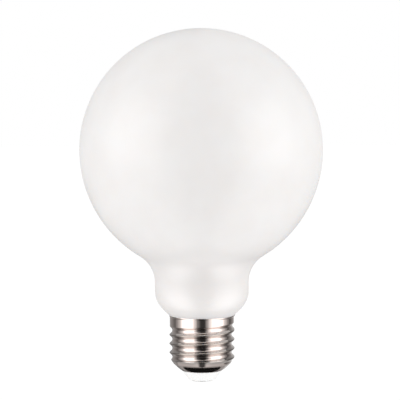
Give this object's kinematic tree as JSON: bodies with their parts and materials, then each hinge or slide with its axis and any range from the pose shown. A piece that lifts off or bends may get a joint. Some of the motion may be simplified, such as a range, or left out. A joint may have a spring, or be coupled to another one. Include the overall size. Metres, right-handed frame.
{
  "type": "globe bulb",
  "caption": "Opal globe lamp with a short round neck on a nickel screw cap, with a white insulator and a flat centre contact.",
  "frame": {"origin": "centre of the contact's face at the foot of the cap", "axes": "+Z along the screw's axis, from the contact to the crown of the globe"},
  "size_m": [0.0982, 0.0982, 0.1426],
  "materials": {
    "opal_glass": "opal white, satin",
    "nickel_plate": "nickel plate, bright rolled",
    "cement": "matt, cured",
    "white_insulator": "white, glossy",
    "contact_metal": "nickel plate, bright"
  },
  "bodies": {
    "root": {"opal_globe": "opal_glass", "screw_shell": "nickel_plate", "basing_cement": "cement", "base_insulator": "white_insulator", "centre_contact": "contact_metal"}
  },
  "joints": []
}
